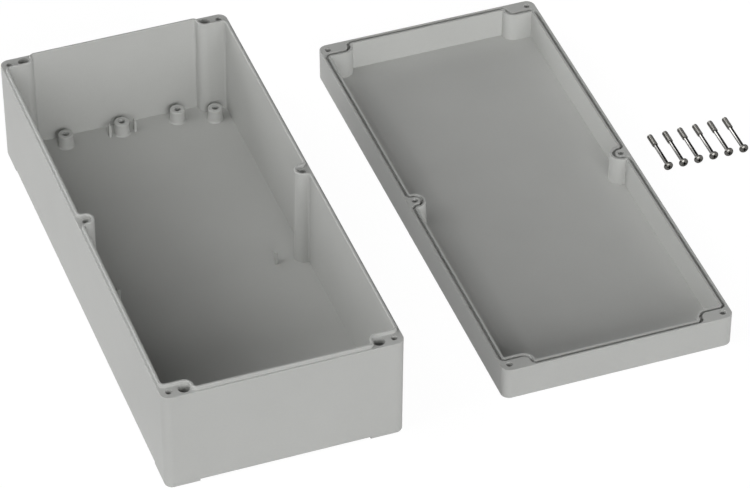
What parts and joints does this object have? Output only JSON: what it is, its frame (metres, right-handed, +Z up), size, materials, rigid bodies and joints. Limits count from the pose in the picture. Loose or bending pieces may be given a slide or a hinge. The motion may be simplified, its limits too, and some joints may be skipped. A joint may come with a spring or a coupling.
{
  "type": "enclosure",
  "caption": "Long rectangular outdoor plastic enclosure shown open: deep base with corner lands, tongued rim and floor standoffs, gasketed tray lid and captive cover screws beside it.",
  "frame": {"origin": "centre of the base's underside, in the plane of its feet and of the surface it stands on", "axes": "+X from the base towards the lid, across the base; +Y along the base; +Z up, out of its mouth"},
  "size_m": [0.4776, 0.3669, 0.0793],
  "materials": {
    "housing_plastic": "fine moulded satin",
    "gasket_rubber": "soft matte",
    "screw_steel": "bright turned stainless"
  },
  "bodies": {
    "root": {"enclosure_base": "housing_plastic", "enclosure_lid": "housing_plastic", "lid_gasket": "gasket_rubber", "cover_screw_1": "screw_steel", "cover_screw_2": "screw_steel", "cover_screw_3": "screw_steel", "cover_screw_4": "screw_steel", "cover_screw_5": "screw_steel", "cover_screw_6": "screw_steel"}
  },
  "joints": []
}
